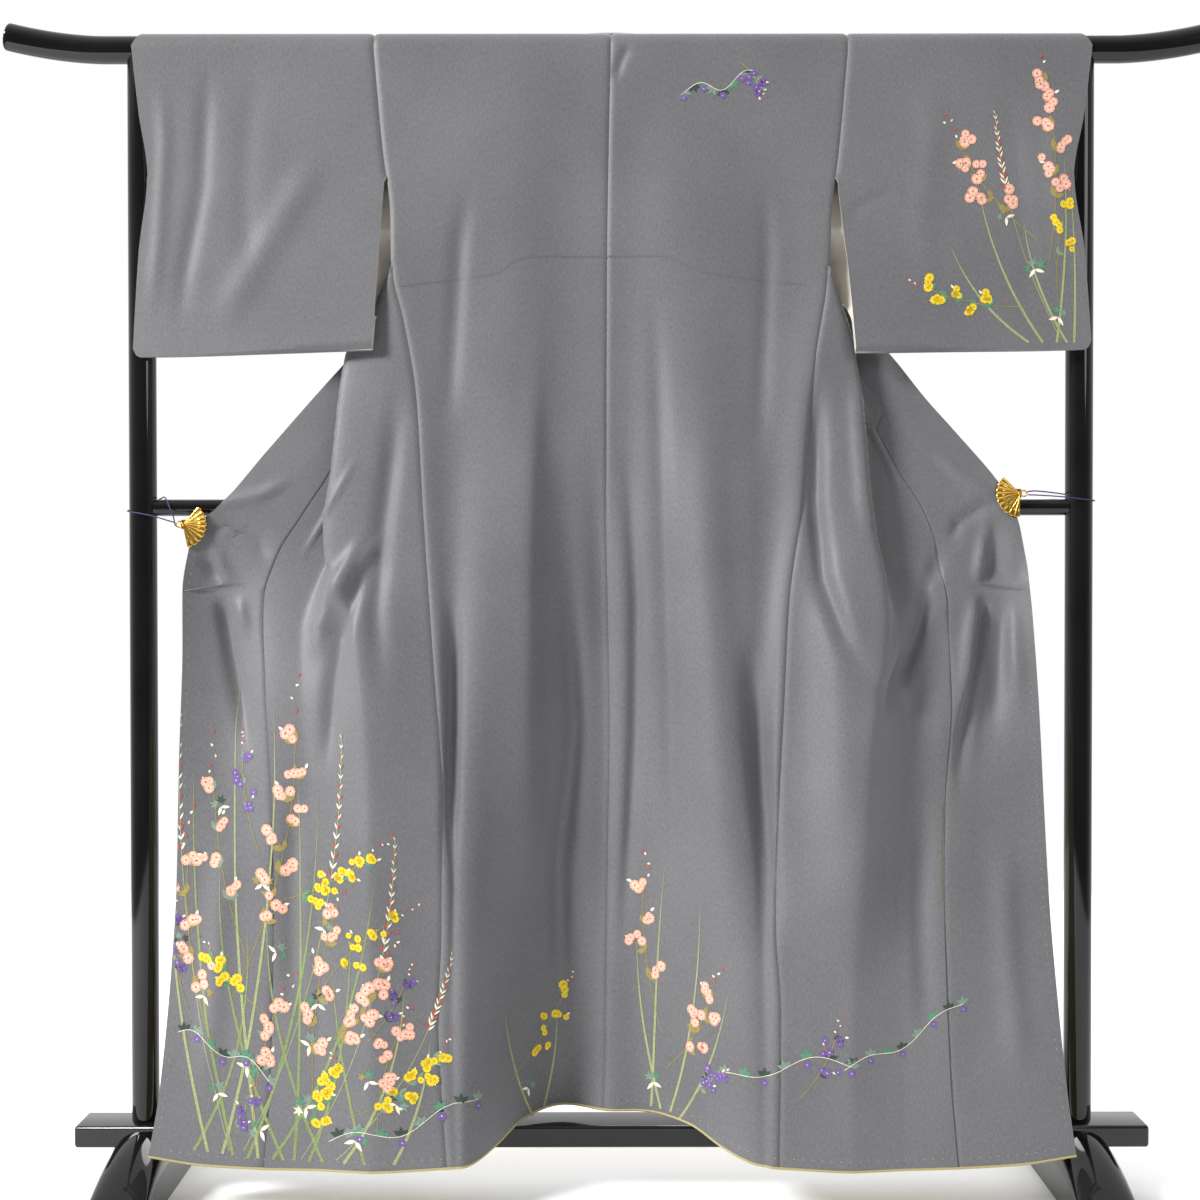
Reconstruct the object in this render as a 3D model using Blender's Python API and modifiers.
"""A kimono hung over the top rail of a lacquered kimono stand, seen from its back.

Metres, +Z up, X across the garment, +Y away from the viewer. The origin is on the floor under the middle of
the rail. Each cloth panel is a wall on one drape: a family of level sections that run through named fold lines.
Both fronts are swung out sideways and gripped by a fan-shaped clip on each side, tied to the posts.
"""

import math

import bmesh
import bpy
import numpy as np

# Cloth
WALL = 0.002
COLLAR_WALL = 0.0028
SEAM_GAP = 0.0003
NECK_HALF_WIDTH = 0.095
COLLAR_WIDTH = 0.055
COLLAR_END_LEVEL = 0.8645
OKUMI_TIP_LEVEL = 1.125
OKUMI_TIP_DROP = 0.005
SIDE_SEAM_TOP = 1.323
SLEEVE_SEPARATION_TOP = 0.0435
SLEEVE_SEPARATION_HEM = 0.006
SLEEVE_SEPARATION_WRIST = 0.004
SLEEVE_CORNER_RADIUS = 0.012
FAR_WRIST_EDGE = 0.648
COLLAR_LIFT = 0.0022
NECK_HUMP = 0.0065
NECK_HUMP_HALF_WIDTH = 0.075

# Stand
RAIL_RADIUS = 0.0195
RAIL_LEVEL = 1.6375
RAIL_HALF_LENGTH = 0.861
RAIL_TIP_LENGTH = 0.14
RAIL_TIP_RISE = 0.019
POST_X = 0.672
POST_RADIUS = 0.0195
CROSSBAR_RADIUS = 0.012
CROSSBAR_LEVEL = 0.983
BEAM_HALF_LENGTH = 0.766
BEAM_HALF_DEPTH = 0.035
BEAM_BOTTOM = 0.070
BEAM_TOP = 0.101
FOOT_WIDTH = 0.084
FOOT_HALF_LENGTH = 0.20
FOOT_HEIGHT = 0.0955
FOOT_TIP_HEIGHT = 0.010

# Clips and ties
FAN_RADIUS = 0.034
FAN_THICKNESS = 0.0022
FAN_PLEAT = 0.0011
FAN_RIBS = 9
JAW_SIZE = (0.020, 0.0016, 0.013)
RING_RADIUS = 0.0042
RING_WIRE = 0.0011
TIE_RADIUS = 0.001

# The rail is wrapped at this distance from its centre line by the middle of the cloth's wall.
WRAP_RADIUS = RAIL_RADIUS + WALL / 2 + 0.001

# Fold lines, from top to bottom. A row is (level, distance out from the centre line, depth).
# Depth is Y: negative is nearer the viewer. Each list names a crest, a hollow, a seam or an edge.
CENTRE_SEAM = (
    (1.63, 0.0, -0.0215), (1.323, 0.0, -0.027), (0.983, 0.0, -0.027), (0.70, 0.0, -0.022),
    (0.40, 0.002, -0.016), (0.20, 0.006, -0.022), (0.11, 0.013, -0.040),
)
FOLDS = {
    "left": {
        "hollow": (
            (1.63, 0.060, -0.0215), (1.323, 0.066, -0.022), (0.983, 0.071, -0.0165), (0.86, 0.069, -0.006),
            (0.70, 0.060, 0.012), (0.40, 0.078, 0.042), (0.11, 0.074, 0.066),
        ),
        "crest": (
            (1.63, 0.125, -0.0215), (1.50, 0.126, -0.030), (1.323, 0.127, -0.038), (1.137, 0.143, -0.050),
            (0.983, 0.161, -0.062), (0.70, 0.186, -0.088), (0.50, 0.196, -0.104), (0.06, 0.196, -0.126),
        ),
        "flank": (
            (1.63, 0.250, -0.0215), (1.323, 0.230, -0.027), (1.00, 0.222, -0.034), (0.70, 0.222, -0.058),
            (0.40, 0.222, -0.090), (0.06, 0.214, -0.118),
        ),
        "side_seam": (
            (1.63, 0.3365, -0.0215), (1.49, 0.3237, -0.0245), (1.40, 0.3125, -0.029), (1.323, 0.311, -0.034),
            (1.25, 0.294, -0.037), (1.137, 0.275, -0.042), (0.983, 0.2655, -0.050), (0.80, 0.252, -0.066),
            (0.56, 0.236, -0.088), (0.39, 0.236, -0.100), (0.28, 0.240, -0.106), (0.06, 0.227, -0.120),
        ),
        "front_side": (
            (1.63, 0.3365, 0.0215), (1.49, 0.3237, 0.009), (1.40, 0.3125, -0.008), (1.323, 0.311, -0.030),
        ),
        "roll": (
            (1.323, 0.313, -0.026), (1.27, 0.338, -0.025), (1.205, 0.380, -0.024), (1.137, 0.391, -0.030),
            (1.04, 0.399, -0.039), (0.953, 0.409, -0.044), (0.91, 0.405, -0.048), (0.86, 0.385, -0.064),
            (0.80, 0.362, -0.080), (0.70, 0.346, -0.094), (0.56, 0.336, -0.106), (0.30, 0.332, -0.118),
            (0.06, 0.330, -0.124),
        ),
        "turn": (
            (1.63, 0.040, 0.0215), (1.588, 0.038, 0.024), (1.50, 0.062, 0.024), (1.323, 0.137, 0.010),
            (1.205, 0.240, 0.001), (1.137, 0.290, -0.004), (1.00, 0.360, -0.0205), (0.93, 0.384, -0.021),
            (0.88, 0.412, -0.024), (0.80, 0.436, -0.040), (0.70, 0.432, -0.062), (0.56, 0.420, -0.078),
            (0.30, 0.408, -0.098), (0.06, 0.410, -0.110),
        ),
        "okumi_seam": (
            (1.63, 0.040, 0.0215), (1.588, 0.038, 0.026), (1.50, 0.085, 0.030), (1.323, 0.215, 0.020),
            (1.19, 0.327, 0.001), (1.137, 0.356, -0.004), (1.04, 0.394, -0.014), (0.97, 0.437, -0.0175),
            (0.903, 0.478, -0.022), (0.856, 0.494, -0.030), (0.735, 0.489, -0.054), (0.566, 0.4746, -0.074),
            (0.391, 0.4686, -0.090), (0.20, 0.469, -0.102), (0.06, 0.480, -0.108),
        ),
        "pleat": (
            (1.63, 0.040, 0.0215), (1.588, 0.038, 0.026), (1.50, 0.103, 0.032), (1.323, 0.245, 0.022),
            (1.191, 0.352, 0.000), (1.137, 0.395, -0.006), (1.04, 0.462, -0.016), (0.97, 0.530, -0.020),
            (0.923, 0.572, -0.014), (0.863, 0.564, -0.006), (0.735, 0.537, -0.020), (0.56, 0.532, -0.052),
            (0.30, 0.540, -0.086), (0.06, 0.560, -0.106),
        ),
        "edge": (
            (1.63, 0.040, 0.0215), (1.588, 0.040, 0.026), (1.50, 0.116, 0.032), (1.323, 0.268, 0.022),
            (1.191, 0.381, 0.000), (1.137, 0.428, -0.007), (1.0635, 0.491, -0.014), (0.983, 0.560, -0.0195),
            (0.958, 0.590, -0.021), (0.92, 0.602, -0.024), (0.8645, 0.609, -0.030), (0.772, 0.6076, -0.038),
            (0.627, 0.610, -0.050), (0.46, 0.611, -0.062), (0.336, 0.616, -0.074), (0.173, 0.628, -0.094),
            (0.06, 0.646, -0.104),
        ),
    },
    "right": {
        "hollow": (
            (1.63, 0.060, -0.0215), (1.50, 0.045, -0.0215), (1.323, 0.032, -0.023), (0.983, 0.029, -0.0165),
            (0.86, 0.038, -0.010), (0.66, 0.042, 0.006), (0.40, 0.040, 0.020), (0.11, 0.050, 0.012),
        ),
        "crest": (
            (1.63, 0.105, -0.0215), (1.50, 0.108, -0.030), (1.323, 0.115, -0.040), (1.137, 0.121, -0.052),
            (0.993, 0.130, -0.064), (0.70, 0.158, -0.086), (0.50, 0.172, -0.098), (0.06, 0.184, -0.112),
        ),
        "flank": (
            (1.63, 0.250, -0.0215), (1.323, 0.226, -0.025), (1.00, 0.205, -0.026), (0.70, 0.206, -0.044),
            (0.44, 0.214, -0.076), (0.06, 0.212, -0.112),
        ),
        "side_seam": (
            (1.63, 0.3365, -0.0215), (1.49, 0.3237, -0.0245), (1.40, 0.3125, -0.029), (1.323, 0.309, -0.034),
            (1.20, 0.290, -0.039), (1.137, 0.2835, -0.041), (1.00, 0.272, -0.047), (0.85, 0.250, -0.060),
            (0.70, 0.241, -0.074), (0.56, 0.233, -0.088), (0.39, 0.228, -0.100), (0.28, 0.2335, -0.106),
            (0.06, 0.230, -0.120),
        ),
        "front_side": (
            (1.63, 0.3365, 0.0215), (1.49, 0.3237, 0.009), (1.40, 0.3125, -0.008), (1.323, 0.309, -0.030),
        ),
        "roll": (
            (1.323, 0.311, -0.026), (1.27, 0.330, -0.025), (1.205, 0.350, -0.025), (1.137, 0.355, -0.032),
            (1.00, 0.364, -0.045), (0.946, 0.371, -0.050), (0.90, 0.380, -0.058), (0.84, 0.384, -0.072),
            (0.76, 0.376, -0.086), (0.66, 0.356, -0.096), (0.50, 0.340, -0.108), (0.30, 0.332, -0.118),
            (0.06, 0.330, -0.124),
        ),
        "turn": (
            (1.63, 0.040, 0.0215), (1.588, 0.038, 0.024), (1.50, 0.070, 0.024), (1.323, 0.150, 0.010),
            (1.205, 0.235, 0.001), (1.137, 0.262, -0.004), (1.00, 0.322, -0.0205), (0.93, 0.352, -0.021),
            (0.86, 0.392, -0.026), (0.78, 0.412, -0.044), (0.70, 0.414, -0.062), (0.56, 0.408, -0.080),
            (0.30, 0.402, -0.100), (0.06, 0.405, -0.112),
        ),
        "okumi_seam": (
            (1.63, 0.040, 0.0215), (1.588, 0.038, 0.026), (1.50, 0.096, 0.030), (1.323, 0.232, 0.020),
            (1.19, 0.343, 0.001), (1.137, 0.366, -0.004), (1.042, 0.414, -0.014), (0.971, 0.456, -0.0175),
            (0.91, 0.470, -0.022), (0.779, 0.486, -0.048), (0.718, 0.485, -0.056), (0.568, 0.467, -0.076),
            (0.391, 0.461, -0.092), (0.20, 0.465, -0.102), (0.06, 0.477, -0.108),
        ),
        "pleat": (
            (1.63, 0.040, 0.0215), (1.588, 0.038, 0.026), (1.50, 0.116, 0.032), (1.323, 0.264, 0.022),
            (1.191, 0.372, 0.000), (1.137, 0.414, -0.006), (1.04, 0.470, -0.016), (0.98, 0.520, -0.020),
            (0.93, 0.556, -0.014), (0.86, 0.548, -0.004), (0.735, 0.528, -0.018), (0.56, 0.524, -0.050),
            (0.30, 0.536, -0.086), (0.06, 0.558, -0.106),
        ),
        "edge": (
            (1.63, 0.040, 0.0215), (1.588, 0.041, 0.026), (1.50, 0.130, 0.032), (1.323, 0.290, 0.022),
            (1.20, 0.4024, 0.001), (1.137, 0.451, -0.007), (1.091, 0.491, -0.012), (1.017, 0.5527, -0.0185),
            (0.985, 0.572, -0.0205), (0.95, 0.583, -0.022), (0.8645, 0.5947, -0.030), (0.70, 0.6047, -0.044),
            (0.567, 0.6088, -0.055), (0.4247, 0.6143, -0.066), (0.2837, 0.6234, -0.080), (0.17, 0.6324, -0.094),
            (0.06, 0.646, -0.104),
        ),
    },
}

# The height of the hem at each fold line.
HEM_LEVEL = {
    "centre": 0.119, "hollow": 0.117, "slope": 0.109, "crest": 0.086, "flank": 0.072, "side_seam": 0.070, "roll": 0.066,
    "turn": 0.0655, "okumi_seam": 0.066, "pleat": 0.070, "edge": 0.081,
}

# Depth of the loop at the outward roll and at the hidden turn behind it. A row is (level, depth).
ROLL_LOOP = ((1.323, 0.002), (1.25, 0.010), (1.137, 0.016), (0.95, 0.022), (0.86, 0.016), (0.70, 0.004), (0.06, 0.0))
TURN_LOOP = ((1.60, 0.0), (1.50, 0.012), (1.20, 0.012), (1.00, 0.010), (0.88, 0.006), (0.70, 0.0), (0.06, 0.0))

# Edges, bottom and depths of the sleeves. A row is (level, value), or (distance out, level) for the bottom.
WRIST_EDGE = {
    "left": ((1.66, 0.683), (1.545, 0.670), (1.4488, 0.6565), (1.344, 0.668), (1.19, 0.677)),
    "right": ((1.66, 0.686), (1.545, 0.672), (1.4488, 0.6560), (1.344, 0.670), (1.19, 0.681)),
}
FURI_EDGE = {
    "left": ((1.44, 0.3215), (1.40, 0.3245), (1.30, 0.330), (1.19, 0.337)),
    "right": ((1.44, 0.3215), (1.40, 0.3255), (1.30, 0.336), (1.19, 0.345)),
}
SLEEVE_HEM = {
    "left": ((0.33, 1.212), (0.50, 1.203), (0.62, 1.197), (0.69, 1.195)),
    "right": ((0.33, 1.207), (0.50, 1.206), (0.62, 1.205), (0.69, 1.206)),
}
SLEEVE_DEPTH_INNER = ((1.66, -0.0215), (1.49, -0.0245), (1.40, -0.031), (1.323, -0.042), (1.20, -0.055))
SLEEVE_DEPTH_WRIST = ((1.66, -0.0215), (1.60, -0.0225), (1.455, -0.0275), (1.20, -0.033))

# The pivot of each clip's fan as (distance out, level), and the fan's first and last angle from the inward way.
CLIPS = {
    "left": {"pivot": (0.609, 0.9585), "spread": (-78.0, 49.0)},
    "right": {"pivot": (0.5815, 1.0015), "spread": (-90.0, 45.0)},
}
TIE_ROUTES = {
    "left": (
        (0.6203, -0.0255, 0.9612), (0.632, -0.0258, 0.9645), (0.652, -0.0250, 0.9705), (0.672, -0.0220, 0.9745),
        (0.6875, -0.0155, 0.977), (0.6940, 0.0, 0.979), (0.6875, 0.0155, 0.983), (0.672, 0.0220, 0.988),
        (0.658, 0.0190, 0.994), (0.648, 0.0115, 0.9975), (0.642, 0.0, 0.9985), (0.636, -0.0110, 0.9945),
        (0.630, -0.0168, 0.983), (0.6245, -0.0195, 0.971), (0.6200, -0.0245, 0.9565),
    ),
    "right": (
        (0.5928, -0.0255, 0.9995), (0.606, -0.0262, 0.9990), (0.632, -0.0255, 0.9975), (0.655, -0.0240, 0.9955),
        (0.672, -0.0220, 0.9935), (0.6875, -0.0155, 0.992), (0.6940, 0.0, 0.992), (0.6875, 0.0155, 0.994),
        (0.672, 0.0220, 0.998), (0.655, 0.0200, 1.0025), (0.636, 0.0120, 1.0045), (0.618, -0.0010, 1.0055),
        (0.603, -0.0140, 1.0055), (0.5926, -0.0245, 1.0040),
    ),
}

COLOURS = {
    "grey crepe": ((0.185, 0.185, 0.20), 0.62, 0.0),
    "black lacquer": ((0.012, 0.012, 0.015), 0.12, 0.0),
    "gilt metal": ((0.72, 0.50, 0.16), 0.32, 1.0),
    "purple elastic": ((0.09, 0.04, 0.16), 0.6, 0.0),
}

# Rows of cloth between the rail, the side seam's top, the okumi's tip and its first row, the collar's end
# and the hem.
ROW_COUNTS = (5, 3, 1, 4, 10)
OKUMI_FIRST_ROW = sum(ROW_COUNTS[:3])
COLLAR_LAST_ROW = sum(ROW_COUNTS[:4])
BODY_ROWS = sum(ROW_COUNTS)
ARMHOLE_ROWS = 3
WRAP_ROWS = 5
NECK_COLUMNS = 5
FRONT_COLUMNS = 11
OKUMI_COLUMNS = 6
COLLAR_COLUMNS = (0.0, 0.13, 0.27, 0.42, 0.62, 1.0)
SLEEVE_COLUMNS = 10

# Levels of the sections, from the rail down. The collar ends between two of them.
LEVELS = np.sort([
    *np.linspace(RAIL_LEVEL, SIDE_SEAM_TOP + 0.001, 44), *np.linspace(SIDE_SEAM_TOP, 0.05, 150),
    COLLAR_END_LEVEL, COLLAR_END_LEVEL - 1e-5,
])[::-1]
PANEL_STEPS = 61


def clear_scene():
    for obj in list(bpy.data.objects):
        bpy.data.objects.remove(obj, do_unlink=True)


def collection(name):
    made = bpy.data.collections.new(name)
    bpy.context.scene.collection.children.link(made)
    return made


def material(name):
    colour, roughness, metallic = COLOURS[name]
    made = bpy.data.materials.get(name) or bpy.data.materials.new(name)
    made.use_nodes = True
    shader = made.node_tree.nodes["Principled BSDF"]
    shader.inputs["Base Color"].default_value = (*colour, 1.0)
    shader.inputs["Roughness"].default_value = roughness
    shader.inputs["Metallic"].default_value = metallic
    return made


def add_object(name, mesh, finish, into, smooth=True):
    obj = bpy.data.objects.new(name, mesh)
    into.objects.link(obj)
    finished = material(finish).copy()
    finished.name = f"{finish} of {name}"
    mesh.materials.append(finished)
    if smooth:
        mesh.shade_smooth()
        mesh.set_sharp_from_angle(angle=math.radians(40))
    return obj


def smooth_table(rows, at):
    """Values of a table's second and later columns at these levels: a monotone cubic through the rows."""
    table = np.array(sorted(rows))
    x = table[:, 0]
    at = np.clip(at, x[0], x[-1])
    index = np.clip(np.searchsorted(x, at) - 1, 0, len(x) - 2)
    step = np.diff(x)
    found = []
    for y in table[:, 1:].T:
        slope = np.diff(y) / step
        tangent = np.zeros(len(x))
        steady = slope[:-1] * slope[1:] > 0
        tangent[1:-1][steady] = 2 * (slope[:-1] * slope[1:])[steady] / (slope[:-1] + slope[1:])[steady]
        tangent[0], tangent[-1] = slope[0], slope[-1]
        h = step[index]
        u = (at - x[index]) / h
        found.append(
            (2 * u**3 - 3 * u**2 + 1) * y[index] + (u**3 - 2 * u**2 + u) * h * tangent[index]
            + (3 * u**2 - 2 * u**3) * y[index + 1] + (u**3 - u**2) * h * tangent[index + 1]
        )
    return np.array(found)


def blend(low, high, x):
    """Smooth step from 0 at low to 1 at high."""
    u = min(max((x - low) / (high - low), 0.0), 1.0)
    return u * u * (3 - 2 * u)


def through(controls, per_span=24):
    """A cubic B-spline near these control points, ending on the first and the last. Also the span's ends."""
    points = np.array(controls)
    points = np.vstack([2 * points[0] - points[1], points, 2 * points[-1] - points[-2]])
    u = np.linspace(0, 1, per_span, endpoint=False)[:, None]
    weights = ((1 - u) ** 3, 3 * u**3 - 6 * u**2 + 4, -3 * u**3 + 3 * u**2 + 3 * u + 1, u**3)
    spans = [
        sum(w * points[i + k] for k, w in enumerate(weights)) / 6
        for i in range(len(points) - 3)
    ]
    last = (points[-3] + 4 * points[-2] + points[-1]) / 6
    return np.vstack([*spans, last]), per_span


def fold_points(side, level):
    """Control points from the side seam to the front edge of one side at one level, with X outwards."""
    folds = FOLDS[side]
    at = {name: smooth_table(rows, level) for name, rows in folds.items()}
    roll_loop = smooth_table(ROLL_LOOP, level)[0]
    turn_loop = smooth_table(TURN_LOOP, level)[0]
    below = level <= SIDE_SEAM_TOP
    start = at["side_seam"] if below else at["front_side"]
    points = [start]
    if below:
        reach = min(0.012, 0.5 * abs(at["roll"][0] - start[0]))
        points.append(start + (reach, 0))
        points.append(at["roll"] - (0, roll_loop / 2))
        points.append(at["roll"] + (0, roll_loop / 2))
    points.append(at["turn"] - (0, turn_loop / 2))
    points.append(at["turn"] + (0, turn_loop / 2))
    points.append(at["okumi_seam"])
    okumi = len(points) - 1
    points.append(at["pleat"])
    points.append(at["edge"])
    return points, okumi


def back_points(side, level):
    """Control points from beside the centre seam to just inside the side seam."""
    folds = FOLDS[side]
    seam = smooth_table(folds["side_seam"], level)
    inside = [smooth_table(folds[name], level) for name in ("hollow", "crest", "flank")]
    return [*inside, seam - (0.012, 0)], seam


def lengths(points):
    return np.concatenate([[0.0], np.cumsum(np.linalg.norm(np.diff(points, axis=0), axis=1))])


def resample(points, along, start, end):
    """Points and unit tangents at even steps of length between two lengths along a curve."""
    at = np.linspace(start, end, PANEL_STEPS)
    found = np.stack([np.interp(at, along, points[:, k]) for k in range(2)], axis=1)
    reach = 0.004
    ahead = np.stack([np.interp(at + reach, along, points[:, k]) for k in range(2)], axis=1)
    behind = np.stack([np.interp(at - reach, along, points[:, k]) for k in range(2)], axis=1)
    return found, ahead - behind


def collar_reach(side, level):
    """Width of the collar along a level section, where the front edge runs at a slant."""
    step = 0.02
    above, below = (smooth_table(FOLDS[side]["edge"], level + d)[0] for d in (step, -step))
    slant = min(abs(above - below) / (2 * step), 0.85) * blend(0.0, 0.08, RAIL_LEVEL - level)
    return COLLAR_WIDTH * math.hypot(1.0, slant)


def side_panels(side, level):
    """The back, front, okumi and collar stretches of one side's section at one level, from the centre outwards."""
    centre = smooth_table(CENTRE_SEAM, level)
    centre = centre * (1 if side == "left" else -1, 1)
    inner, seam = back_points(side, level)
    other, _ = back_points("right" if side == "left" else "left", level)
    mirrored = [p * (-1, 1) for p in other[:2][::-1]]
    front, okumi = fold_points(side, level)
    if level <= SIDE_SEAM_TOP:
        curve, per = through([*mirrored, centre, *inner, *front])
        seam_at = 3 + len(inner)
        back_curve = front_curve = curve
        seam_length = lengths(curve)[seam_at * per]
        okumi_at = (seam_at + okumi) * per
        start = seam_length
    else:
        back_curve, per = through([*mirrored, centre, *inner, seam])
        front_curve, per = through(front)
        seam_length = lengths(back_curve)[-1]
        okumi_at = okumi * per
        start = 0.0
    back_along = lengths(back_curve)
    front_along = lengths(front_curve)
    half = SEAM_GAP / 2
    edge = front_along[-1]
    collar = edge - collar_reach(side, level) if level >= COLLAR_END_LEVEL else edge
    opening = np.clip((OKUMI_TIP_LEVEL - level) / (6 * OKUMI_TIP_DROP), 0, 1)
    okumi_start = collar - (collar - min(front_along[okumi_at], collar)) * opening
    return {
        "back": resample(back_curve, back_along, back_along[2 * per] + half, seam_length - half),
        "front": resample(front_curve, front_along, start + half, okumi_start - half),
        "okumi": resample(front_curve, front_along, okumi_start + half, max(collar - half, okumi_start + 2 * half)),
        "collar": resample(front_curve, front_along, collar + half, edge),
        "whole okumi": resample(front_curve, front_along, okumi_start + half, edge),
    }


class Drape:
    """One side of the garment: sections at every level, read at any fraction across a panel and any level."""

    def __init__(self, side):
        self.sign = -1 if side == "left" else 1
        self.side = side
        sections = [side_panels(side, level) for level in LEVELS]
        self.points = {name: np.array([s[name][0] for s in sections]) for name in sections[0]}
        self.tangents = {name: np.array([s[name][1] for s in sections]) for name in sections[0]}

    def column(self, panel, fraction, levels):
        """Points and outward normals down one column of a panel, at these levels."""
        steps = np.linspace(0, 1, PANEL_STEPS)
        ascending = LEVELS[::-1]

        def read(table):
            across = np.array([[np.interp(fraction, steps, row[:, k]) for k in range(2)] for row in table])
            return lambda at: np.stack([np.interp(at, ascending, across[::-1, k]) for k in range(2)], axis=1)

        place = read(self.points[panel])
        tangent = read(self.tangents[panel])(levels)
        step = 0.008
        fall = (place(levels + step) - place(levels - step)) / (2 * step)
        flat = place(levels)
        points = np.column_stack([self.sign * flat[:, 0], flat[:, 1], levels])
        across = np.column_stack([self.sign * tangent[:, 0], tangent[:, 1], np.zeros(len(levels))])
        down = np.column_stack([self.sign * fall[:, 0], fall[:, 1], np.ones(len(levels))])
        normals = np.cross(across, down) * self.sign
        return points, normals / np.linalg.norm(normals, axis=1)[:, None]


def hem_at(panel, fraction):
    """Height of the hem at a fraction across a panel, from the heights at its fold lines."""
    h = HEM_LEVEL
    rows = {
        "back": (
            (0, h["centre"]), (0.25, h["hollow"]), (0.48, h["slope"]), (0.70, h["crest"]), (0.9, h["flank"]),
            (1, h["side_seam"]),
        ),
        "front": ((0, h["side_seam"]), (0.4, h["roll"]), (0.75, h["turn"]), (1, h["okumi_seam"])),
        "whole okumi": ((0, h["okumi_seam"]), (0.5, h["pleat"]), (1, h["edge"])),
    }[panel]
    return float(smooth_table(rows, np.array(fraction))[0])


def shell_mesh(name, points, normals, present, wall, closed_pairs=()):
    """A closed wall about a grid of points: `present` says which cells of the grid exist.

    Every point gives an outer and an inner vertex, half a wall along its normal. Each free border gets a rim.
    `closed_pairs` adds further cells, each by the four grid places of its corners.
    """
    rows, columns = points.shape[:2]
    index = np.arange(rows * columns).reshape(rows, columns)
    r, c = np.nonzero(present)
    cells = np.stack([index[r, c], index[r, c + 1], index[r + 1, c + 1], index[r + 1, c]], axis=1)
    extra = [[index[place] for place in cell] for cell in closed_pairs]
    if extra:
        cells = np.vstack([cells, extra])
    flat_points = points.reshape(-1, 3)
    flat_normals = normals.reshape(-1, 3)
    count = rows * columns
    vertices = np.vstack([flat_points + flat_normals * wall / 2, flat_points - flat_normals * wall / 2])
    edges = np.vstack([cells[:, [k, (k + 1) % 4]] for k in range(4)])
    known = {tuple(edge) for edge in edges.tolist()}
    free = [edge for edge in known if edge[::-1] not in known]
    faces = [tuple(cell) for cell in cells.tolist()]
    faces += [tuple(count + v for v in cell[::-1]) for cell in cells.tolist()]
    faces += [(b, a, count + a, count + b) for a, b in sorted(free)]
    mesh = bpy.data.meshes.new(name)
    mesh.from_pydata(vertices.tolist(), [], faces)
    tidy = bmesh.new()
    tidy.from_mesh(mesh)
    bmesh.ops.delete(tidy, geom=[v for v in tidy.verts if not v.link_faces], context="VERTS")
    bmesh.ops.recalc_face_normals(tidy, faces=tidy.faces)
    tidy.to_mesh(mesh)
    tidy.free()
    return mesh


def row_levels(hem):
    """Levels of the rows of cloth from the rail's centre down to a hem at this height."""
    marks = (
        RAIL_LEVEL, SIDE_SEAM_TOP, OKUMI_TIP_LEVEL, OKUMI_TIP_LEVEL - OKUMI_TIP_DROP, COLLAR_END_LEVEL, hem,
    )
    parts = [np.linspace(a, b, count + 1)[:-1] for a, b, count in zip(marks, marks[1:], ROW_COUNTS)]
    return np.concatenate([*parts, [hem]])


def over_rail(x, angle, lift=0.0):
    """A point on the cloth over the rail, at an angle from the near side up to the far side, and its normal."""
    normal = np.array([0.0, -math.cos(angle), math.sin(angle)])
    return np.array([x, 0.0, RAIL_LEVEL]) + (WRAP_RADIUS + lift) * normal, normal


def down_far_side(x, length, lift=0.0):
    """A point at a length from the rail's top over its far side, first round the rail and then straight down."""
    quarter = WRAP_RADIUS * math.pi / 2
    if length <= quarter:
        return over_rail(x, math.pi / 2 + length / WRAP_RADIUS, lift)
    return np.array([x, WRAP_RADIUS + lift, RAIL_LEVEL - (length - quarter)]), np.array([0.0, 1.0, 0.0])


def body_panel(drape, into):
    """Back and front of one side in one length of cloth: from the back hem over the rail to the front hem."""
    neck = NECK_HALF_WIDTH / FOLDS[drape.side]["side_seam"][0][1]
    inside = np.linspace(0, neck, NECK_COLUMNS + 1)[:-1]
    fractions = np.concatenate([inside, np.linspace(neck, 1, FRONT_COLUMNS + 1)])
    front_start = BODY_ROWS + WRAP_ROWS + 1
    grid = np.zeros((front_start + BODY_ROWS + 1, len(fractions), 3))
    normals = np.zeros_like(grid)
    for c, fraction in enumerate(fractions):
        levels = row_levels(hem_at("back", fraction))[::-1]
        grid[: BODY_ROWS + 1, c], normals[: BODY_ROWS + 1, c] = drape.column("back", fraction, levels)
        for k in range(1, WRAP_ROWS + 1):
            angle = math.pi * k / (WRAP_ROWS + 1)
            grid[BODY_ROWS + k, c], normals[BODY_ROWS + k, c] = over_rail(grid[BODY_ROWS, c, 0], angle)
        if c >= NECK_COLUMNS:
            inwards = (fraction - neck) / (1 - neck)
            levels = row_levels(hem_at("front", 1 - inwards))
            grid[front_start:, c], normals[front_start:, c] = drape.column("front", 1 - inwards, levels)
    present = np.ones((len(grid) - 1, len(fractions) - 1), bool)
    present[BODY_ROWS + (WRAP_ROWS + 1) // 2 :, :NECK_COLUMNS] = False
    name = f"body_{drape.side}"
    return add_object(name, shell_mesh(name, grid, normals, present, WALL), "grey crepe", into)


def okumi_panel(drape, into):
    """The narrow front overlap panel, from its tip beside the collar down to the hem."""
    first, last = OKUMI_FIRST_ROW, COLLAR_LAST_ROW
    fractions = np.linspace(0, 1, OKUMI_COLUMNS + 1)
    narrow = last - first + 1
    grid = np.zeros((BODY_ROWS + 2 - first, len(fractions), 3))
    normals = np.zeros_like(grid)
    for c, fraction in enumerate(fractions):
        levels = row_levels(hem_at("whole okumi", fraction))
        beside_collar = np.append(levels[first:last], levels[last] + SEAM_GAP)
        grid[:narrow, c], normals[:narrow, c] = drape.column("okumi", fraction, beside_collar)
        grid[narrow:, c], normals[narrow:, c] = drape.column("whole okumi", fraction, levels[last:])
    present = np.ones((len(grid) - 1, OKUMI_COLUMNS), bool)
    name = f"okumi_{drape.side}"
    return add_object(name, shell_mesh(name, grid, normals, present, WALL), "grey crepe", into)


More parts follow.
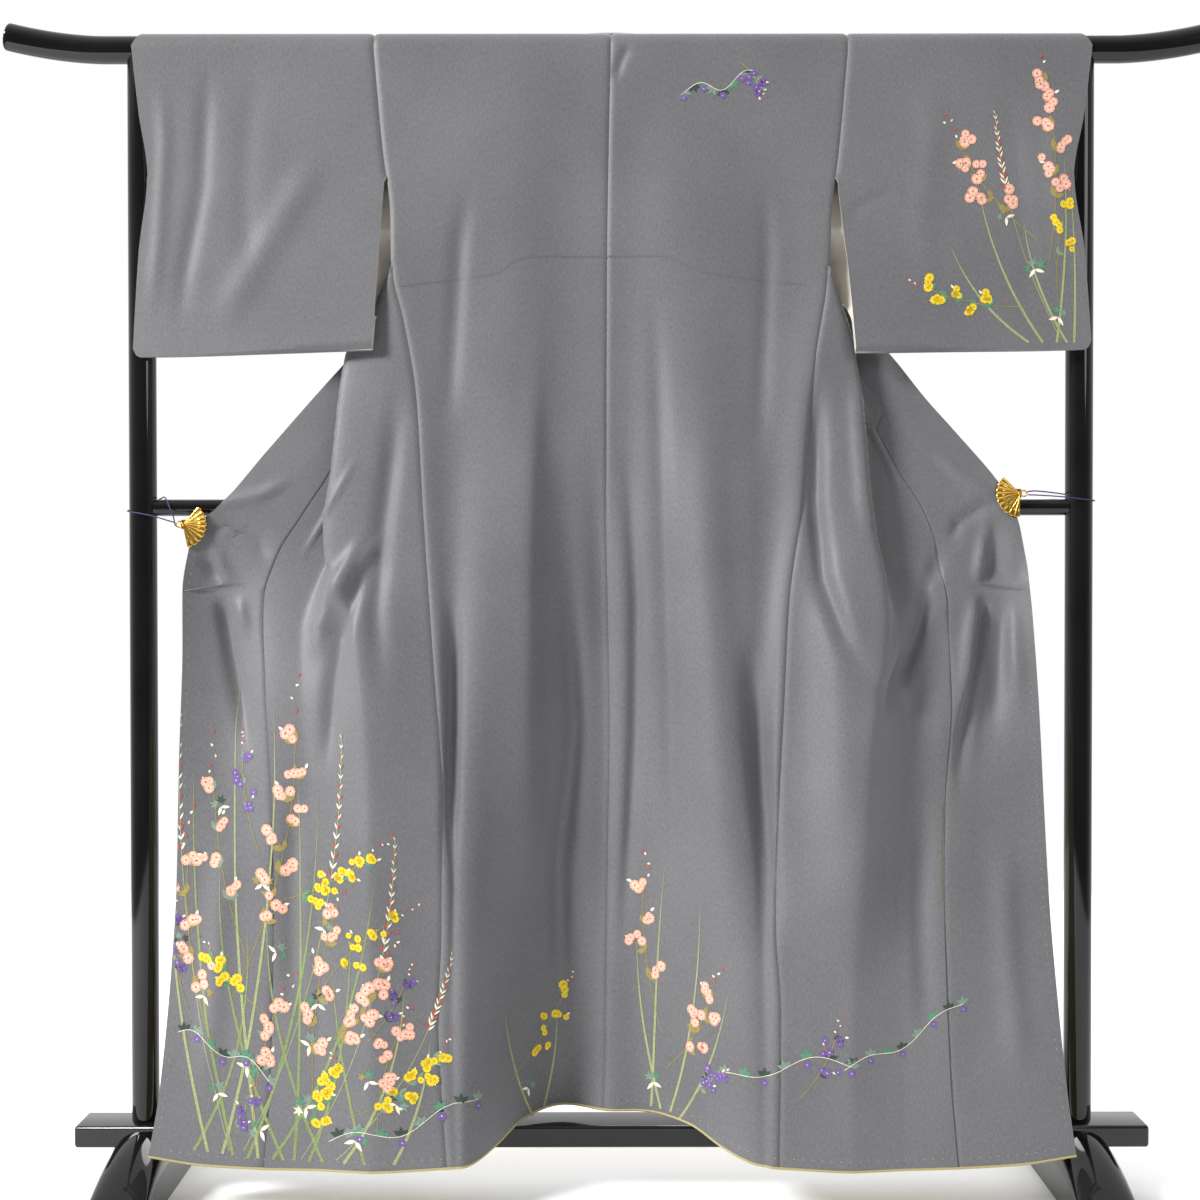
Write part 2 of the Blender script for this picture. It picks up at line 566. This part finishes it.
def collar_front(drape):
    """Points and normals of one side's collar from its lower end up to just under the rail, row by row."""
    levels = row_levels(HEM_LEVEL["edge"])[: COLLAR_LAST_ROW + 1][::-1]
    levels[0] += 2 * SEAM_GAP
    columns = [drape.column("collar", fraction, levels) for fraction in COLLAR_COLUMNS]
    points, normals = (np.stack(found, axis=1) for found in zip(*columns))
    return points, normals


def neck_row(sign, seam, edge):
    """One row of the collar behind the neck, from its seam to its free edge.

    Both ends are (distance out, length over the rail). The collar stands off the rail a little, most at the
    middle of the neck.
    """
    places = []
    for fraction, hump in zip(COLLAR_COLUMNS, (0.0, 0.9, 1.0, 0.9, 0.7, 0.35)):
        x = seam[0] + (edge[0] - seam[0]) * fraction
        length = seam[1] + (edge[1] - seam[1]) * fraction
        middle = math.cos(min(abs(x) / NECK_HUMP_HALF_WIDTH, 1.0) * math.pi / 2) ** 2
        lift = (COLLAR_LIFT + NECK_HUMP * hump * middle) if fraction else 0.0
        places.append(down_far_side(sign * x, length, lift))
    return places


def neck_rows(sign):
    """Rows of the collar round one side of the neck: up the rail's far side, then in along the neck cut."""
    inside = NECK_HALF_WIDTH - SEAM_GAP
    free = NECK_HALF_WIDTH - COLLAR_WIDTH
    corner = 0.013
    step = WRAP_RADIUS * math.pi / (WRAP_ROWS + 1)
    seam = [(inside, 2 * step), (inside, step), (inside, SEAM_GAP)]
    seam += [(inside * k / NECK_COLUMNS, SEAM_GAP) for k in range(NECK_COLUMNS - 1, 0, -1)]
    turn = [math.radians(a) for a in (10, 26, 42, 58, 74, 90)]
    edge = [(free - corner + corner * math.cos(a), COLLAR_WIDTH + corner * (1 - math.sin(a))) for a in turn]
    edge += [(free - corner - 0.010, COLLAR_WIDTH)]
    return [neck_row(sign, *ends) for ends in zip(seam, edge)]


def collar(drapes, into):
    """The collar in one length, from one front end round the neck to the other."""
    left_points, left_normals = collar_front(drapes["left"])
    right_points, right_normals = collar_front(drapes["right"])
    neck = neck_rows(-1) + [neck_row(1, (0.0, SEAM_GAP), (0.0, COLLAR_WIDTH))] + neck_rows(1)[::-1]
    places = np.array([[place for place, _ in row] for row in neck])
    facings = np.array([[facing for _, facing in row] for row in neck])
    points = np.concatenate([left_points, places, right_points[::-1]])
    normals = np.concatenate([left_normals, facings, right_normals[::-1]])
    present = np.ones((len(points) - 1, len(COLLAR_COLUMNS) - 1), bool)
    return add_object("collar", shell_mesh("collar", points, normals, present, COLLAR_WALL), "grey crepe", into)


def sleeve_point(side, layer, fraction, level):
    """A point of a sleeve's near or far layer at a fraction from the armhole to the wrist, X outwards."""
    armhole = row_levels(HEM_LEVEL["centre"])[ARMHOLE_ROWS]
    sewn = level >= armhole - 1e-6
    seam = smooth_table(FOLDS[side]["side_seam"], level)
    inner = seam[0] + SEAM_GAP if sewn else smooth_table(FURI_EDGE[side], level)[0]
    inner_depth = seam[1] if sewn else smooth_table(SLEEVE_DEPTH_INNER, level)[0]
    wrist = smooth_table(WRIST_EDGE[side], level)[0]
    depth = inner_depth + (smooth_table(SLEEVE_DEPTH_WRIST, level)[0] - inner_depth) * fraction
    if layer == "near":
        return inner + (wrist - inner) * fraction, depth
    if sewn:
        wrist = wrist if level < armhole + 1e-6 else FAR_WRIST_EDGE
        at_armhole = smooth_table(FOLDS[side]["front_side"], level)[1] - inner_depth
    else:
        fall = (level - SLEEVE_HEM[side][0][1]) / (RAIL_LEVEL - SLEEVE_HEM[side][0][1])
        at_armhole = SLEEVE_SEPARATION_HEM + (SLEEVE_SEPARATION_TOP - SLEEVE_SEPARATION_HEM) * max(fall, 0.0)
    climb = min(max((level - armhole) / (RAIL_LEVEL - armhole), 0.0), 1.0)
    at_wrist = SLEEVE_SEPARATION_WRIST + (SLEEVE_SEPARATION_TOP - SLEEVE_SEPARATION_WRIST) * climb
    separation = at_armhole + (at_wrist - at_armhole) * blend(0.6, 0.95, fraction)
    return inner + (wrist - inner) * fraction, depth + separation


def grid_normals(points):
    """Unit normals of a grid of points, from the steps along its rows and columns."""
    normals = np.cross(np.gradient(points, axis=1), np.gradient(points, axis=0))
    return normals / np.linalg.norm(normals, axis=2)[:, :, None]


def sleeve(side, into):
    """A sleeve: a bag folded over the rail, open along the body and at the wrist above the wrist seam."""
    sign = -1 if side == "left" else 1
    upper = row_levels(HEM_LEVEL["centre"])[: ROW_COUNTS[0] + 1]
    below = ROW_COUNTS[0] + 2
    rows = 2 * (below + 1) + WRAP_ROWS
    grid = np.zeros((rows, SLEEVE_COLUMNS + 1, 3))
    for c in range(SLEEVE_COLUMNS + 1):
        fraction = c / SLEEVE_COLUMNS
        out = 0.337 + 0.34 * fraction
        rounding = max(out - (0.677 - SLEEVE_CORNER_RADIUS), 0.0) / SLEEVE_CORNER_RADIUS
        hem = smooth_table(SLEEVE_HEM[side], out)[0] + SLEEVE_CORNER_RADIUS * (1 - math.sqrt(max(1 - rounding**2, 0.0)))
        levels = np.concatenate([upper, np.linspace(SIDE_SEAM_TOP, hem, 3)[1:]])
        for k, level in enumerate(levels):
            for layer, row in (("near", below - k), ("far", rows - 1 - below + k)):
                x, y = sleeve_point(side, layer, fraction, float(level))
                grid[row, c] = (sign * x, y, level)
        near_x, far_x = abs(grid[below, c, 0]), abs(grid[rows - 1 - below, c, 0])
        for k in range(1, WRAP_ROWS + 1):
            share = k / (WRAP_ROWS + 1)
            grid[below + k, c] = over_rail(sign * (near_x + (far_x - near_x) * share), math.pi * share)[0]
    normals = grid_normals(grid) * sign
    normals[0] = normals[0] * (1, 1, 0) + (0, 0, -1)
    normals[-1] = normals[-1] * (1, 1, 0) + (0, 0, -1)
    cells = [((0, c), (rows - 1, c), (rows - 1, c + 1), (0, c + 1)) for c in range(SLEEVE_COLUMNS)]
    last = SLEEVE_COLUMNS
    joined = below - ARMHOLE_ROWS
    for k in range(joined):
        cells.append(((k, last), (rows - 1 - k, last), (rows - 2 - k, last), (k + 1, last)))
    for k in range(joined + 1):
        for row in (k, rows - 1 - k):
            normals[row, last] = normals[row, last] * (0, 1, 1) + (sign, 0, 0)
    present = np.ones((rows - 1, SLEEVE_COLUMNS), bool)
    name = f"sleeve_{side}"
    return add_object(name, shell_mesh(name, grid, normals, present, WALL, cells), "grey crepe", into)


def tube(name, route, radius, finish, into, per_span=5, resolution=2):
    """A tube with closed ends along a smooth curve through the points of a route."""
    points = np.array(route)
    ends = np.vstack([2 * points[0] - points[1], points, 2 * points[-1] - points[-2]])
    places = []
    for i in range(len(points) - 1):
        p0, p1, p2, p3 = ends[i : i + 4]
        for u in np.linspace(0, 1, per_span, endpoint=False):
            places.append(
                0.5 * (2 * p1 + (p2 - p0) * u + (2 * p0 - 5 * p1 + 4 * p2 - p3) * u**2
                       + (3 * p1 - p0 - 3 * p2 + p3) * u**3)
            )
    places.append(points[-1])
    curve = bpy.data.curves.new(name, "CURVE")
    curve.dimensions = "3D"
    curve.bevel_depth = radius
    curve.bevel_resolution = resolution
    curve.use_fill_caps = True
    spline = curve.splines.new("POLY")
    spline.points.add(len(places) - 1)
    for point, place in zip(spline.points, places):
        point.co = (*place, 1.0)
        point.radius = 1.0
    obj = bpy.data.objects.new(name, curve)
    into.objects.link(obj)
    curve.materials.append(material(finish))
    spline.use_smooth = True
    return obj


def rod(name, start, end, radius, finish, into, segments=24):
    """A round bar between two points."""
    start, end = np.array(start), np.array(end)
    axis = end - start
    mesh = bpy.data.meshes.new(name)
    shape = bmesh.new()
    bmesh.ops.create_cone(
        shape, cap_ends=True, segments=segments, radius1=radius, radius2=radius, depth=float(np.linalg.norm(axis))
    )
    shape.to_mesh(mesh)
    shape.free()
    obj = add_object(name, mesh, finish, into)
    obj.location = (start + end) / 2
    if abs(axis[0]) > abs(axis[2]):
        obj.rotation_euler = (0.0, math.pi / 2, 0.0)
    return obj


def box(name, low, high, finish, into, bevel=0.0):
    """A box between two corners, with rounded edges where a bevel is given."""
    mesh = bpy.data.meshes.new(name)
    shape = bmesh.new()
    bmesh.ops.create_cube(shape, size=1.0)
    size = np.array(high) - np.array(low)
    bmesh.ops.scale(shape, vec=tuple(size), verts=shape.verts)
    shape.to_mesh(mesh)
    shape.free()
    obj = add_object(name, mesh, finish, into, smooth=bevel > 0)
    obj.location = (np.array(high) + np.array(low)) / 2
    if bevel:
        rounding = obj.modifiers.new("rounded edges", "BEVEL")
        rounding.width = bevel
        rounding.segments = 3
    return obj


def cutter(obj):
    obj.hide_render = True
    obj.display_type = "WIRE"
    return obj


def cut(obj, tool, operation="DIFFERENCE"):
    modifier = obj.modifiers.new(f"{operation.lower()} {tool.name}", "BOOLEAN")
    modifier.operation = operation
    modifier.object = tool


def rail(into):
    """The top rail: straight over the posts, with tips that curve gently up."""
    start = RAIL_HALF_LENGTH - RAIL_TIP_LENGTH
    half = [(start + RAIL_TIP_LENGTH * u, RAIL_TIP_RISE * u**1.8) for u in np.linspace(0, 1, 8)]
    route = [(-x, 0.0, RAIL_LEVEL + rise) for x, rise in half[::-1]]
    route += [(x, 0.0, RAIL_LEVEL + rise) for x, rise in half]
    return tube("rail", route, RAIL_RADIUS, "black lacquer", into, per_span=1, resolution=4)


def foot(name, x, into, tools):
    """An arched foot: level sections that are flat below and half round on top, lower towards both tips."""
    stations = np.linspace(-1, 1, 17)
    half = FOOT_WIDTH / 2
    arc = np.linspace(0, math.pi, 9)
    rings = []
    for u in stations:
        height = FOOT_TIP_HEIGHT + (FOOT_HEIGHT - FOOT_TIP_HEIGHT) * (1 - abs(u) ** 2.1)
        side = height * 0.5
        ring = [(half, 0.0)] + [(half * math.cos(a), side + (height - side) * math.sin(a)) for a in arc]
        rings.append([(across, u * FOOT_HALF_LENGTH, up) for across, up in [*ring, (-half, 0.0)]])
    mesh = bpy.data.meshes.new(name)
    shape = bmesh.new()
    rows = [[shape.verts.new(place) for place in ring] for ring in rings]
    for one, two in zip(rows, rows[1:]):
        for k in range(len(one)):
            after = (k + 1) % len(one)
            shape.faces.new((one[k], one[after], two[after], two[k]))
    shape.faces.new(rows[0])
    shape.faces.new(rows[-1][::-1])
    bmesh.ops.recalc_face_normals(shape, faces=shape.faces)
    shape.to_mesh(mesh)
    shape.free()
    obj = add_object(name, mesh, "black lacquer", into)
    obj.location.x = x
    notch = box(
        f"notch of {name}", (x - half - 0.01, -BEAM_HALF_DEPTH - SEAM_GAP, BEAM_BOTTOM - SEAM_GAP),
        (x + half + 0.01, BEAM_HALF_DEPTH + SEAM_GAP, FOOT_HEIGHT + 0.02), "black lacquer", tools,
    )
    cut(obj, cutter(notch))
    return obj


def stand(into, tools):
    """The stand: rail, two posts, crossbar, base beam and two feet."""
    rail(into)
    rail_groove = cutter(rod(
        "rail groove", (-0.8, 0, RAIL_LEVEL), (0.8, 0, RAIL_LEVEL), RAIL_RADIUS + SEAM_GAP, "black lacquer", tools, 48
    ))
    bar = rod("crossbar", (-POST_X, 0, CROSSBAR_LEVEL), (POST_X, 0, CROSSBAR_LEVEL), CROSSBAR_RADIUS, "black lacquer", into)
    box(
        "base_beam", (-BEAM_HALF_LENGTH, -BEAM_HALF_DEPTH, BEAM_BOTTOM),
        (BEAM_HALF_LENGTH, BEAM_HALF_DEPTH, BEAM_TOP), "black lacquer", into, bevel=0.003,
    )
    for side, sign in (("left", -1), ("right", 1)):
        x = sign * POST_X
        post = rod(f"post_{side}", (x, 0, BEAM_TOP + SEAM_GAP), (x, 0, RAIL_LEVEL), POST_RADIUS, "black lacquer", into)
        cut(post, rail_groove)
        socket = rod(
            f"socket_{side}", (x, 0, CROSSBAR_LEVEL - 0.05), (x, 0, CROSSBAR_LEVEL + 0.05),
            POST_RADIUS + SEAM_GAP, "black lacquer", tools, 48,
        )
        cut(bar, cutter(socket))
        foot(f"foot_{side}", x, into, tools)


def fan(name, side, back, into):
    """The clip's fan: a pleated sector with a scalloped rim, flat at the back."""
    sign = -1 if side == "left" else 1
    out, level = CLIPS[side]["pivot"]
    low, high = (math.radians(a) for a in CLIPS[side]["spread"])
    steps = 2 * FAN_RIBS
    mesh = bpy.data.meshes.new(name)
    shape = bmesh.new()
    rows = {"front": [], "back": []}
    for k in range(steps + 1):
        angle = low + (high - low) * k / steps
        crest = k % 2
        for face, depth in (("front", back - FAN_THICKNESS - FAN_PLEAT * crest), ("back", back)):
            row = []
            for radius in (0.006, FAN_RADIUS * (1.0 if crest else 0.955)):
                x = sign * (out - radius * math.cos(angle))
                row.append(shape.verts.new((x, depth, level + radius * math.sin(angle))))
            rows[face].append(row)
    hub = [shape.verts.new((sign * (out + 0.003), depth, level)) for depth in (back - FAN_THICKNESS, back)]
    for k in range(steps):
        f, b = rows["front"], rows["back"]
        shape.faces.new((f[k][0], f[k + 1][0], f[k + 1][1], f[k][1]))
        shape.faces.new((b[k][1], b[k + 1][1], b[k + 1][0], b[k][0]))
        shape.faces.new((f[k][1], f[k + 1][1], b[k + 1][1], b[k][1]))
        shape.faces.new((f[k + 1][0], f[k][0], hub[0]))
        shape.faces.new((b[k][0], b[k + 1][0], hub[1]))
    for k in (0, steps):
        shape.faces.new((rows["front"][k][0], rows["front"][k][1], rows["back"][k][1], rows["back"][k][0]))
        shape.faces.new((hub[0], rows["front"][k][0], rows["back"][k][0], hub[1]))
    bmesh.ops.recalc_face_normals(shape, faces=shape.faces)
    shape.to_mesh(mesh)
    shape.free()
    return add_object(name, mesh, "gilt metal", into, smooth=False)


def torus(name, centre, radius, wire, finish, into):
    """A ring that stands facing the viewer."""
    mesh = bpy.data.meshes.new(name)
    shape = bmesh.new()
    around, section = 16, 8
    rings = []
    for k in range(around):
        turn = 2 * math.pi * k / around
        ring = []
        for j in range(section):
            roll = 2 * math.pi * j / section
            reach = radius + wire * math.cos(roll)
            place = (centre[0] + reach * math.cos(turn), centre[1] + wire * math.sin(roll),
                     centre[2] + reach * math.sin(turn))
            ring.append(shape.verts.new(place))
        rings.append(ring)
    for k in range(around):
        one, two = rings[k], rings[(k + 1) % around]
        for j in range(section):
            shape.faces.new((one[j], two[j], two[(j + 1) % section], one[(j + 1) % section]))
    bmesh.ops.recalc_face_normals(shape, faces=shape.faces)
    shape.to_mesh(mesh)
    shape.free()
    return add_object(name, mesh, finish, into)


def cloth_depths(drape, low, high):
    """Least and greatest depth of the middle of the cloth within a window of (distance out, level)."""
    found = []
    for panel in ("collar", "okumi", "whole okumi", "front"):
        points = drape.points[panel]
        inside = (points[:, :, 0] > low[0]) & (points[:, :, 0] < high[0])
        rows = (LEVELS > low[1]) & (LEVELS < high[1])
        found.append(points[inside & rows[:, None]][:, 1])
    found = np.concatenate(found)
    return found.min(), found.max()


def clip(drape, into, tools):
    """A clip: a fan before the cloth, a small jaw behind it, a bridge past the cloth's edge, and the tie's ring."""
    side, sign = drape.side, drape.sign
    out, level = CLIPS[side]["pivot"]
    near, _ = cloth_depths(drape, (out - FAN_RADIUS, level - FAN_RADIUS), (out + 0.01, level + FAN_RADIUS))
    front = near - COLLAR_WALL / 2 - 2 * SEAM_GAP
    _, far = cloth_depths(drape, (out - 0.03, level - 0.009), (out + 0.01, level + 0.009))
    behind = far + COLLAR_WALL / 2 + 2 * SEAM_GAP
    shape = fan(f"clip_{side}", side, front, into)
    width, thick, height = JAW_SIZE
    edge = out - 0.0085
    bridge = box(
        f"bridge_{side}", (min(sign * edge, sign * (out + 0.002)), front - 0.0012, level - height / 2),
        (max(sign * edge, sign * (out + 0.002)), behind + thick, level + height / 2), "gilt metal", tools,
    )
    jaw = box(
        f"jaw_{side}", (min(sign * (edge - width), sign * (edge + 0.002)), behind, level - height / 2 + 0.0004),
        (max(sign * (edge - width), sign * (edge + 0.002)), behind + thick - 0.0002, level + height / 2 - 0.0004),
        "gilt metal", tools,
    )
    ring = torus(
        f"ring_{side}", (sign * (out + 0.0055), front - 0.0012, level), RING_RADIUS, RING_WIRE, "gilt metal", tools
    )
    for tool in (bridge, jaw, ring):
        cut(shape, cutter(tool), "UNION")
    return shape


def main():
    clear_scene()
    kimono = collection("kimono on a kimono stand")
    tools = collection("cutters")
    drapes = {side: Drape(side) for side in ("left", "right")}
    for side, drape in drapes.items():
        body_panel(drape, kimono)
        okumi_panel(drape, kimono)
        sleeve(side, kimono)
    collar(drapes, kimono)
    stand(kimono, tools)
    for side, drape in drapes.items():
        clip(drape, kimono, tools)
        route = [(drape.sign * x, y, z) for x, y, z in TIE_ROUTES[side]]
        tube(f"tie_{side}", route, TIE_RADIUS, "purple elastic", kimono, per_span=3, resolution=1)


main()
